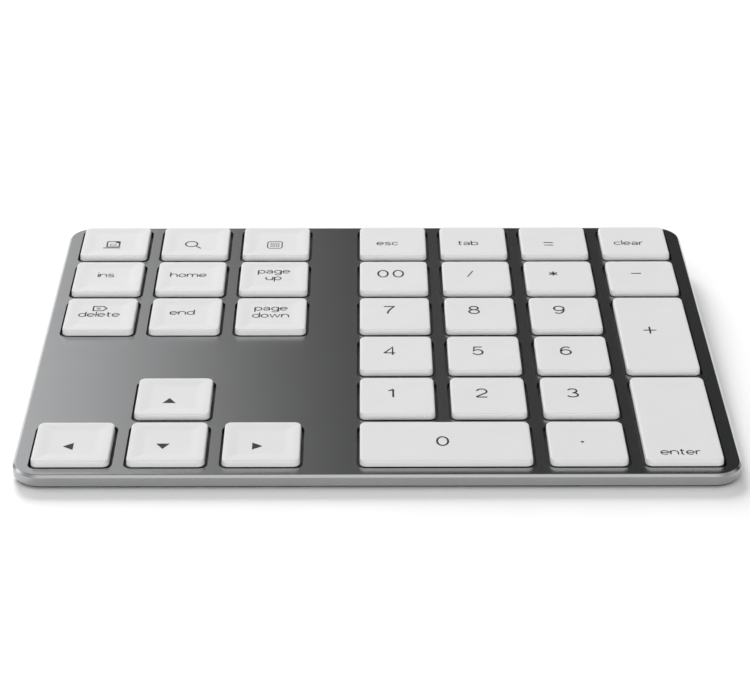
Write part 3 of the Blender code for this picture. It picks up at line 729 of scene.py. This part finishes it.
# node: what is drawn, and where its middle is from the middle of the key, in millimetres
LEGENDS = {
    "key_display": (display_icon, -0.75, -1.35),
    "key_search": (search_icon, -0.6, -1.5),
    "key_calculator": (calculator_icon, -0.35, -1.6),
    "key_insert": (word("ins"), -0.65, 0.0),
    "key_home": (word("home"), -0.75, 0.0),
    "key_page_up": (word("page", "up", baseline=1.8), -0.1, 0.0),
    "key_delete": (delete_icon, -0.35, 1.4),
    "key_end": (word("end"), -0.9, -0.2),
    "key_page_down": (word("page", "down", baseline=1.8), -0.15, 0.0),
    "key_up": (arrow(0), *ARROW_PLACE),
    "key_left": (arrow(1), *ARROW_PLACE),
    "key_down": (arrow(2), *ARROW_PLACE),
    "key_right": (arrow(3), *ARROW_PLACE),
    "key_esc": (word("esc"), *WORD_PLACE),
    "key_tab": (word("tab"), *WORD_PLACE),
    "key_equals": (lines(((-1.1, -0.7), (1.1, -0.7)), ((-1.1, 0.7), (1.1, 0.7))), -1.2, -1.4),
    "key_clear": (word("clear"), *WORD_PLACE),
    "key_double_zero": (number("00"), -0.7, 1.4),
    "key_divide": (lines(((-0.65, -1.5), (0.65, 1.5)), width=WORD_STROKE), -1.4, 1.25),
    "key_multiply": (star, -1.25, 1.35),
    "key_minus": (lines(((-1.15, 0.0), (1.15, 0.0))), -1.15, 1.4),
    "key_7": (number("7"), *UPPER_DIGIT_PLACE),
    "key_8": (number("8"), *UPPER_DIGIT_PLACE),
    "key_9": (number("9"), *UPPER_DIGIT_PLACE),
    "key_plus": (lines(((-1.45, 0.0), (1.45, 0.0)), ((0.0, -1.6), (0.0, 1.6))), -1.05, 1.25),
    "key_4": (number("4"), *DIGIT_PLACE),
    "key_5": (number("5"), *DIGIT_PLACE),
    "key_6": (number("6"), *DIGIT_PLACE),
    "key_1": (number("1"), *DIGIT_PLACE),
    "key_2": (number("2"), *DIGIT_PLACE),
    "key_3": (number("3"), *DIGIT_PLACE),
    "key_enter": (word("enter"), -0.65, -14.8),
    "key_0": (number("0"), -0.6, 0.0),
    "key_decimal": (dot, -0.95, -0.4),
}


def legend(node, middle, surface, finishes):
    """Printed symbol or word, laid on the dished top of its key."""
    draw, x, y = LEGENDS[node]
    bm = bmesh.new()
    draw(bm)
    for v in bm.verts:
        v.co.x += x * MM
        v.co.y += y * MM
        v.co.z = surface(v.co.x, v.co.y) + LEGEND_LIFT
    for face in bm.faces:
        face.normal_update()
        if face.normal.z < 0:
            face.normal_flip()
    name = f"{node}_legend"
    show(name, shaded_mesh(bm, name), [finishes["ink"]], node,
         DECK @ Matrix.Translation(middle))


# ---------------------------------------------------------------- top case
def cut(piece, cutter_mesh, operation="DIFFERENCE"):
    """Boolean applied to a piece's mesh."""
    tool = bpy.data.objects.new("cutter", cutter_mesh)
    bpy.context.scene.collection.objects.link(tool)
    modifier = piece.modifiers.new("cut", "BOOLEAN")
    modifier.operation = operation
    modifier.solver = "EXACT"
    modifier.object = tool
    bpy.context.view_layer.update()
    graph = bpy.context.evaluated_depsgraph_get()
    result = bpy.data.meshes.new_from_object(piece.evaluated_get(graph))
    piece.modifiers.clear()
    piece.data = result
    bpy.data.objects.remove(tool)
    bpy.data.meshes.remove(cutter_mesh)


def raw_piece(name, bodies):
    """Object made of one or more lofted bodies, with no material yet."""
    piece = bpy.data.objects.new(name, lofted(name, bodies))
    bpy.context.scene.collection.objects.link(piece)
    return piece


def finish_piece(piece, materials, body, replaced, sharp=SHARP, matrix=DECK):
    """Shades a raw piece, gives it its materials and puts it on its body."""
    mesh = piece.data
    for material in materials:
        mesh.materials.append(material)
    shade(mesh, sharp)
    mesh.transform(matrix)
    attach(piece, body)
    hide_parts(*replaced)


def screw_places():
    """The four case screws, in the deck frame."""
    return [span(f"case_screw_{i}")[:2] for i in range(1, 5)]


def case_rings():
    """Rings of the top case from the inside of its skirt, round the outside, to the flat plate."""

    def outline(inset):
        return rounded(CASE_WIDTH - 2 * inset, CASE_DEPTH - 2 * inset, CASE_CORNER - inset, 24, 4)

    rings = [at(outline(SKIRT_WALL), -PLATE), at(outline(SKIRT_WALL), -SKIRT_DROP + SKIRT_LIP),
             at(outline(SKIRT_WALL - SKIRT_LIP), -SKIRT_DROP)]
    for i in range(BEND_STEPS + 1):
        a = math.pi / 2 * i / BEND_STEPS
        inset, rise = SKIRT_ROUND * (1 - math.sin(a)), SKIRT_ROUND * (1 - math.cos(a))
        rings.append(at(outline(inset), -SKIRT_DROP + rise))
    rings.append(at(outline(0.0), -CHAMFER - ROLL_DROP))
    rings.append(at(outline(CHAMFER), -ROLL_DROP))
    for i in range(1, BEND_STEPS + 1):
        t = i / BEND_STEPS
        rings.append(at(outline(CHAMFER + ROLL * t), -ROLL_DROP * (1 - t) * (1 - 0.35 * t)))
    return rings


def case_finish(face):
    """Which finish a face of the top case has: 0 anodised, 1 cut chamfer, 2 black painted shade."""
    x, y, z = face.center
    inner = inside_edge(x, y, CASE_WIDTH, CASE_DEPTH, CASE_CORNER) > 1.5 * CHAMFER
    upright = abs(face.normal.z) < 0.3
    facing_down = face.normal.z < -0.5
    inside_skirt = z < -PLATE * 0.95
    # the cut-outs' walls, the plate's underside and the skirt's inside are painted black as shade
    if inner and (upright or facing_down or inside_skirt):
        return 2
    return 1 if 0.6 < face.normal.z < 0.8 else 0


def top_case(finishes):
    """Anodised plate with rolled edges, a cut chamfer and a skirt; its cut-outs and inside are painted
    black as shade.
    """
    piece = raw_piece("top_case_shell", [case_rings()])
    holes = []
    for node in KEY_NAMES:
        x, y, width, depth = span(node)
        hole = rounded(width + 2 * KEY_GAP, depth + 2 * KEY_GAP, KEY_CORNER + KEY_GAP / 2, centre=(x, y))
        holes.append([at(hole, -3 * PLATE), at(hole, PLATE)])
    cut(piece, lofted("cut_outs", holes))
    for face in piece.data.polygons:
        face.material_index = case_finish(face)
    # the third finish is painted shade, black on the cut-outs and the inside
    materials = [finishes["aluminium"], finishes["chamfer"], finishes["recess"]]
    finish_piece(piece, materials, "case", ["top_case"], PLATE_SHARP)


# ---------------------------------------------------------------- under the keys
def dome_sheet(finishes):
    """Flat silicone sheet that the domes stand on, with holes round the screw bosses."""
    x, y, width, depth = span("dome_sheet")
    edge = rounded(width, depth, SHEET_CORNER, 12, centre=(x, y))
    piece = raw_piece("dome_sheet_base", [[at(edge, SHEET_TOP - SHEET_THICK), at(edge, SHEET_TOP)]])
    holes = [circle(SHEET_HOLE, place) for place in screw_places()]
    cut(piece, lofted("sheet_holes", [[at(hole, 3 * SHEET_TOP), at(hole, 0.0)] for hole in holes]))
    finish_piece(piece, [finishes["silicone"]], "case", ["dome_sheet"])


def bar(bm, start, end, thick, tall):
    """Straight bar with a rectangular section between two points."""
    a, b = Vector(start), Vector(end)
    along = b - a
    side = Vector((0.0, 1.0, 0.0)) if abs(along.x) > abs(along.y) else Vector((1.0, 0.0, 0.0))
    up = along.cross(side).normalized() * tall / 2
    side = side * thick / 2
    ring = [side + up, -side + up, -side - up, side - up]
    add_loft(bm, [[a + r for r in ring], [b + r for r in ring]], 1)


def add_lift(bm, x, y):
    """Scissor lift: two crossed frames between the sheet and the cap, pinned at their middles."""
    low, high = SHEET_TOP + LIFT_CLEARANCE, KEY_UNDERSIDE - LIFT_CLEARANCE
    for half_width, sense in zip(LIFT_HALF_WIDTHS, (1, -1)):
        start, end = x - sense * LIFT_REACH, x + sense * LIFT_REACH
        for side in (y - half_width, y + half_width):
            bar(bm, (start, side, low), (end, side, high), *LIFT_ARM)
        for px, z in ((start, low), (end, high)):
            bar(bm, (px, y - half_width, z), (px, y + half_width, z), *LIFT_CROSSBAR)


def dome_and_lift(node, finishes):
    """Rubber dome inside its scissor lift, with a mesh of its own."""
    x, y = span(node)[:2]
    rings = [at(circle(radius * MM, (x, y), 20), SHEET_TOP + rise * DOME_HEIGHT)
             for radius, rise in DOME_PROFILE]
    bm = bmesh.new()
    add_loft(bm, rings)
    add_lift(bm, x, y)
    name = f"{node}_lift"
    materials = [finishes["silicone"], finishes["link"]]
    piece = show(name, shaded_mesh(bm, name), materials, "case", DECK)
    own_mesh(piece)


# ---------------------------------------------------------------- bottom cover
def even_outline(inset):
    """Outline of the case moved inwards by the same amount all round."""
    return rounded(CASE_WIDTH - 2 * inset, CASE_DEPTH - 2 * inset, CASE_CORNER - inset, 12, 2)


def inside_outline():
    """Outline of the pan's floor."""
    front, side, back = COVER_INSIDE
    centre = (0.0, (front - back) / 2)
    return rounded(CASE_WIDTH - 2 * side, CASE_DEPTH - front - back, COVER_INSIDE_CORNER, 12, 2, centre)


def level(height):
    """Surface of points at one height above the table."""
    return lambda x, y: deck_z(height, y)


def wall_opening(node, width, height, shift=0.0):
    """Round-ended opening through the back wall, level with a node that shows there."""
    low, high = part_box(node)
    back = CASE_DEPTH / 2
    centre = ((low.x + high.x) / 2 + shift, deck_z((low.z + high.z) / 2, back))
    edge = rounded(width, height, height / 2 - HAIR, 10, centre=centre)
    return [[Vector((x, y, z)) for x, z in edge] for y in (back - OPENING_REACH, back + OPENING_REACH)]


def pan_rings():
    """Rings of the pan from its floor, over the rim and the step, to its underside."""
    rings = [at(inside_outline(), level(COVER_BASE + COVER_FLOOR)),
             at(even_outline(COVER_RIM_INSET + COVER_WALL), -COVER_RIM_DROP),
             at(even_outline(COVER_RIM_INSET), -COVER_RIM_DROP),
             at(even_outline(COVER_RIM_INSET), -COVER_STEP_DROP),
             at(even_outline(COVER_OUTER), -COVER_STEP_DROP)]
    for i in range(BEND_STEPS + 1):
        a = math.pi / 2 * i / BEND_STEPS
        inset = COVER_OUTER + COVER_ROUND * (1 - math.cos(a))
        rings.append(at(even_outline(inset), level(COVER_BASE + COVER_ROUND * (1 - math.sin(a)))))
    return rings


def pillar(place):
    edge = circle(PILLAR_RADIUS, place)
    return [at(edge, level(PILLAR_FOOT)), at(edge, -PILLAR_DROP)]


def screw_bore(place):
    """Counterbore and shank hole, from below."""
    head, shank = circle(HEAD_BORE, place), circle(SHANK_BORE, place)
    return [at(head, BORE_BOTTOM), at(head, HEAD_SEAT), at(shank, HEAD_SEAT), at(shank, BORE_TOP)]


def foot_pocket(side):
    x, y, width = span(f"foot_{side}")[:3]
    edge = circle(width / 2 + FOOT_CLEARANCE, (x, y), 48)
    return [at(edge, level(-1.0 * MM)), at(edge, level(POCKET_TOP))]


def bottom_cover(finishes):
    """Textured wedge-shaped pan with a stepped rim, screw pillars, foot pockets and two openings."""
    piece = raw_piece("bottom_cover_pan", [pan_rings()])
    cut(piece, lofted("pillars", [pillar(place) for place in screw_places()]), "UNION")
    cut(piece, lofted("bores", [screw_bore(place) for place in screw_places()]))
    low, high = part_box("usb_c_receptacle")
    socket = (high.x - low.x + SOCKET_SPARE, high.z - low.z + SOCKET_SPARE)
    cut(piece, lofted("socket_opening", [wall_opening("usb_c_receptacle", *socket)]))
    switch = wall_opening("power_switch_slider", *SWITCH_OPENING, SWITCH_SHIFT)
    cut(piece, lofted("switch_opening", [switch]))
    cut(piece, lofted("pockets", [foot_pocket(side) for side in FOOT_SIDES]))
    finish_piece(piece, [finishes["cover"]], "case", ["bottom_cover"])


def feet(finishes):
    """Rubber discs with a rounded lower edge and two moulded rings."""
    for side in FOOT_SIDES:
        node = f"foot_{side}"
        low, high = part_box(node)
        radius = (high.x - low.x) / 2
        rings = [at(circle(share * radius, sides=48), rise * high.z) for share, rise in FOOT_PROFILE]
        piece = raw_piece(f"{node}_pad", [rings])
        place = Matrix.Translation(((low.x + high.x) / 2, (low.y + high.y) / 2, 0.0))
        finish_piece(piece, [finishes["rubber"]], "case", [node], FOOT_SHARP, place)


def screws(finishes):
    """Pan-head machine screws with a cross recess, seen in the cover's counterbores."""
    for i in range(1, 5):
        node = f"case_screw_{i}"
        low, high = deck_box(node)
        place = ((low.x + high.x) / 2, (low.y + high.y) / 2)
        seat = low.z + HEAD_HEIGHT
        rings = [at(circle(radius * MM, place), low.z + rise * MM) for radius, rise in HEAD_PROFILE]
        rings += [at(circle(HEAD_RADIUS, place), seat), at(circle(THREAD_CREST, place), seat)]
        for k in range(THREAD_STEPS + 1):
            z = seat + (high.z - seat) * k / THREAD_STEPS
            rings.append(at(circle(THREAD_ROOT if k % 2 else THREAD_CREST, place), z))
        piece = raw_piece(f"{node}_machine_screw", [rings])
        for width, depth in (CROSS_ARM, CROSS_ARM[::-1]):
            slot = rounded(width, depth, 0.1 * MM, 3, centre=place)
            cut(piece, lofted("recess", [[at(slot, low.z - MM), at(slot, low.z + CROSS_DEPTH)]]))
        finish_piece(piece, [finishes["steel"]], "case", [node])


# ---------------------------------------------------------------- back edge
UPRIGHT = Matrix.Identity(4)     # these pieces are drawn in the row's frame


def standing(outline, y):
    """Upright outline of (x, z) points, at one distance to the back."""
    return [Vector((x, y, z)) for x, z in outline]


def usb_c_receptacle(finishes):
    """Rolled steel shell with a black tongue carrying gold contacts."""
    low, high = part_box("usb_c_receptacle")
    x, z = (low.x + high.x) / 2, (low.z + high.z) / 2
    width, height = high.x - low.x, high.z - low.z
    mouth, end = high.y, high.y - SOCKET_DEPTH

    def shell(inset, y):
        radius = height / 2 - inset - HAIR
        return standing(rounded(width - 2 * inset, height - 2 * inset, radius, 12, centre=(x, z)), y)

    inner = SOCKET_WALL - SOCKET_LIP
    rings = [shell(0.0, low.y), shell(0.0, mouth - SOCKET_LIP), shell(SOCKET_LIP, mouth),
             shell(inner, mouth), shell(SOCKET_WALL, mouth - SOCKET_LIP), shell(SOCKET_WALL, end)]
    piece = raw_piece("usb_c_shell", [rings])
    finish_piece(piece, [finishes["steel"]], "case", ["usb_c_receptacle"], matrix=UPRIGHT)
    tongue = rounded(*TONGUE, 0.2 * MM, 4, centre=(x, z))
    nose = rounded(*TONGUE_NOSE, 0.2 * MM, 4, centre=(x, z))
    bm = bmesh.new()
    add_loft(bm, [standing(tongue, end), standing(tongue, mouth - TONGUE_FRONT[0]),
                  standing(nose, mouth - TONGUE_FRONT[1])])
    for i in range(CONTACTS):
        px = x + (i - (CONTACTS - 1) / 2) * CONTACT_PITCH
        strip = rounded(*CONTACT_SIZE, 0.05 * MM, 1, centre=(px, mouth - CONTACT_BACK))
        for side in (-1, 1):
            face = z + side * TONGUE[1] / 2
            add_loft(bm, [at(strip, face), at(strip, face + side * CONTACT_THICK)], 1)
    materials = [finishes["black"], finishes["contact"]]
    show("usb_c_tongue", shaded_mesh(bm, "usb_c_tongue"), materials, "case", UPRIGHT)


def power_slider(finishes):
    """Switch knob with three grip grooves, on its flange."""
    low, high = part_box("power_switch_slider")
    x, z = (low.x + high.x) / 2, (low.z + high.z) / 2
    flange_back = low.y + FLANGE_DEPTH
    bevel, shrink = KNOB_BEVEL

    def block(width, height, radius, y, grow=0.0):
        return standing(rounded(width + grow, height + grow, radius, 4, centre=(x, z)), y)

    rings = [block(*FLANGE, low.y), block(*FLANGE, flange_back), block(*KNOB, flange_back),
             block(*KNOB, high.y - bevel), block(*KNOB, high.y, shrink)]
    piece = raw_piece("power_switch_knob", [rings])
    grooves = []
    for i in range(GROOVES):
        gx = x + (i - (GROOVES - 1) / 2) * GROOVE_PITCH
        edge = rounded(*GROOVE, 2, centre=(gx, z))
        grooves.append([standing(edge, high.y - GROOVE_DEPTH), standing(edge, high.y + MM)])
    cut(piece, lofted("grooves", grooves))
    node = "power_switch_slider"
    finish_piece(piece, [finishes["cover"]], node, [node], matrix=UPRIGHT)


# ---------------------------------------------------------------- stage, light and camera
FLOOR_TONE = 0.85
FLOOR_HALF = 6.0

# Brightness of the painted sky, and the elevations in degrees over which it changes
FRONT_LOW = 1.7
FRONT_MIDDLE = 0.28
BACK_LOW = 0.345
ZENITH = 0.85
FRONT_FADE = (16.0, 40.0)
FRONT_RISE = (38.0, 62.0)
BACK_RISE = (30.0, 75.0)
BACK_HALF = (-120.0, -75.0, 75.0, 120.0)

# Soft-edged patches of it: azimuths, then elevations, where each starts, is full, fades and ends
PANEL = (-100.0, -60.0, 2.0, 20.0), (14.0, 25.0, 42.0, 62.0)
CARD = (-16.0, 2.5, 60.0, 95.0), (10.0, 18.0, 44.0, 64.0)
LINTEL = (-60.0, -35.0, 60.0, 95.0), (42.0, 48.0, 54.0, 62.0)
PANEL_EXTRA = 1.04
CARD_LEVEL = 0.045

# name: place, width, height, power in watts
SOFTBOXES = {
    "key_light": ((-0.38, 1.84, 0.75), 0.9, 1.2, 76.0),
    "fill_light": ((-0.10, -1.92, 0.45), 1.2, 0.4, 15.5),
}

LENS = 110.57
SENSOR = 36.0
CAMERA_PLACE = (-2.94 * MM, -456.33 * MM, 222.46 * MM)
CAMERA_TURN = (64.562, -0.050, -0.318)     # degrees about X, Y and Z


def stage():
    """Large pale floor."""
    bm = bmesh.new()
    corners = ((-1, -1), (1, -1), (1, 1), (-1, 1))
    add_shape(bm, [(x * FLOOR_HALF, y * FLOOR_HALF) for x, y in corners])
    mesh = to_mesh(bm, "floor")
    floor = bpy.data.objects.new("floor", mesh)
    bpy.context.scene.collection.objects.link(floor)
    mesh.materials.append(principled("floor_paint", (FLOOR_TONE,) * 3, 0.25, Specular_IOR_Level=0.3))


def world():
    """Painted studio sky.

    It is bright low in front and overhead, dim behind, brighter behind on the left, and dark on a
    card behind the right half and on a lintel over it.
    """
    studio = bpy.data.worlds.new("studio")
    bpy.context.scene.world = studio
    studio.use_nodes = True
    nodes = Nodes(studio.node_tree)
    studio.node_tree.nodes.clear()
    place = nodes.add("ShaderNodeTexCoord")
    split = nodes.add("ShaderNodeSeparateXYZ")
    nodes.link(place.outputs["Generated"], split.inputs[0])
    x, y, z = split.outputs
    azimuth = nodes.math("MULTIPLY", nodes.math("ARCTAN2", x, y), 180 / math.pi)
    elevation = nodes.math("MULTIPLY", nodes.math("ARCSINE", z), 180 / math.pi)

    def window(value, start, full, fade, end):
        opening, closing = nodes.ramp(value, start, full), nodes.ramp(value, fade, end, 1.0, 0.0)
        return nodes.math("MULTIPLY", opening, closing)

    def patch(azimuths, elevations):
        return nodes.math("MULTIPLY", window(azimuth, *azimuths), window(elevation, *elevations))

    front_low = nodes.ramp(elevation, *FRONT_FADE, FRONT_LOW, FRONT_MIDDLE)
    front = nodes.math("MAXIMUM", front_low, nodes.ramp(elevation, *FRONT_RISE, 0.0, ZENITH))
    base = nodes.add("ShaderNodeMix", data_type="FLOAT")
    nodes.link(window(azimuth, *BACK_HALF), base.inputs[0])
    nodes.link(front, base.inputs[2])
    nodes.link(nodes.ramp(elevation, *BACK_RISE, BACK_LOW, ZENITH), base.inputs[3])
    sky = nodes.math("ADD", base.outputs[0], nodes.math("MULTIPLY", patch(*PANEL), PANEL_EXTRA))
    card, lintel = patch(*CARD), patch(*LINTEL)
    either = nodes.math("ADD", card, lintel)
    dark = nodes.math("SUBTRACT", either, nodes.math("MULTIPLY", card, lintel))
    level = nodes.math("MULTIPLY", sky, nodes.ramp(dark, 0.0, 1.0, 1.0, CARD_LEVEL))
    background = nodes.add("ShaderNodeBackground")
    background.inputs["Color"].default_value = (1.0, 1.0, 1.0, 1.0)
    nodes.link(level, background.inputs["Strength"])
    output = nodes.add("ShaderNodeOutputWorld")
    nodes.link(background.outputs[0], output.inputs["Surface"])


def softbox(name, place, width, height, power):
    """Rectangular light aimed at the object, and left out of sharp reflections."""
    data = bpy.data.lights.new(name, "AREA")
    data.shape = "RECTANGLE"
    data.size = width
    data.size_y = height
    data.energy = power
    lamp = bpy.data.objects.new(name, data)
    bpy.context.scene.collection.objects.link(lamp)
    lamp.location = place
    lamp.visible_glossy = False
    lamp.rotation_euler = (-Vector(place)).to_track_quat("-Z", "Y").to_euler()


def camera():
    """Camera at the catalogue view: in front and just left of the middle, looking down 25 degrees."""
    data = bpy.data.cameras.new("camera")
    data.lens = LENS
    data.sensor_width = SENSOR
    data.clip_start = 0.01
    data.clip_end = 50.0
    eye = bpy.data.objects.new("camera", data)
    bpy.context.scene.collection.objects.link(eye)
    eye.location = CAMERA_PLACE
    eye.rotation_euler = [math.radians(angle) for angle in CAMERA_TURN]
    bpy.context.scene.camera = eye


def main():
    bpy.context.scene.view_settings.view_transform = "Standard"
    camera()
    stage()
    world()
    for name, settings in SOFTBOXES.items():
        softbox(name, *settings)
    finishes = make_materials()
    finish_cad_nodes(finishes)
    for node in KEY_NAMES:
        middle, surface = keycap(node, finishes)
        legend(node, middle, surface, finishes)
        dome_and_lift(node, finishes)
    top_case(finishes)
    dome_sheet(finishes)
    bottom_cover(finishes)
    feet(finishes)
    screws(finishes)
    usb_c_receptacle(finishes)
    power_slider(finishes)


main()
